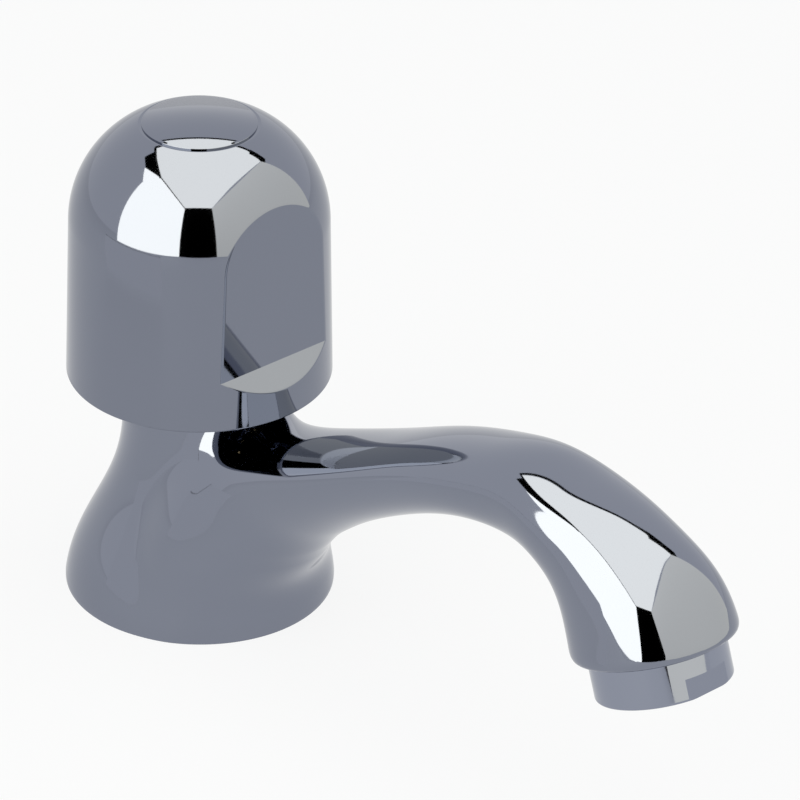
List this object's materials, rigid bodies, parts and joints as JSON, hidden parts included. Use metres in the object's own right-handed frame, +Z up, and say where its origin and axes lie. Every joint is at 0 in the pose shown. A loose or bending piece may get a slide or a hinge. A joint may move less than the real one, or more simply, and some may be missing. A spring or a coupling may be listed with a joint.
{
  "type": "basin pillar tap",
  "caption": "Chromed basin tap with a domed turning knob, a flared base, an arched fixed spout, an aerator and a threaded tail.",
  "frame": {"origin": "centre of the base on the top of the deck, on the knob's axis", "axes": "+Z up along the knob's axis, +X horizontally along the spout, +Y to the spout's left seen from behind"},
  "size_m": [0.1564, 0.0494, 0.1461],
  "materials": {
    "chrome_body": "polished chrome plate on cast brass",
    "chrome_knob": "polished chrome plate on cast zinc",
    "chrome_cap": "polished chrome plate, low dome",
    "chrome_collar": "polished chrome plate on turned brass",
    "turned_brass": "plain turned brass",
    "spindle_brass": "turned brass with a worn sheen",
    "plated_steel": "zinc-plated steel",
    "black_rubber": "matt black rubber",
    "red_fibre": "pressed red fibre",
    "graphite_packing": "grey graphited packing",
    "white_plastic": "moulded white plastic",
    "steel_screen": "drilled stainless steel"
  },
  "bodies": {
    "tap_body": {"body_casting": "chrome_body", "inlet_shank": "turned_brass", "base_gasket": "black_rubber", "rubber_washer": "black_rubber", "clamp_washer": "plated_steel", "back_nut": "turned_brass", "headwork_bonnet": "turned_brass", "bonnet_gasket": "red_fibre", "gland_packing": "graphite_packing", "gland_follower": "turned_brass", "gland_nut": "turned_brass", "aerator_housing": "chrome_collar", "aerator_insert": "white_plastic", "aerator_screen": "steel_screen", "aerator_gasket": "black_rubber"},
    "valve_lift": {"jumper_valve": "turned_brass", "seat_washer": "black_rubber", "jumper_nut": "turned_brass"},
    "handle": {"spindle": "spindle_brass", "knob_shell": "chrome_knob", "spline_bush": "white_plastic", "knob_screw": "plated_steel", "screw_washer": "plated_steel", "index_cap": "chrome_cap"}
  },
  "joints": [
    {"name": "valve_rise", "type": "slide", "parent": "tap_body", "child": "valve_lift", "axis": [0, 0, 1], "range_m": [0, 0.0035]},
    {"name": "knob_turn", "type": "hinge", "parent": "valve_lift", "child": "handle", "pos_m": [0, 0, 0.06], "axis": [0, 0, 1], "range_deg": [0, 630]}
  ],
  "couplings": [
    {"joint": "knob_turn", "follows": "valve_rise", "rad_per_m": 3141.6}
  ]
}
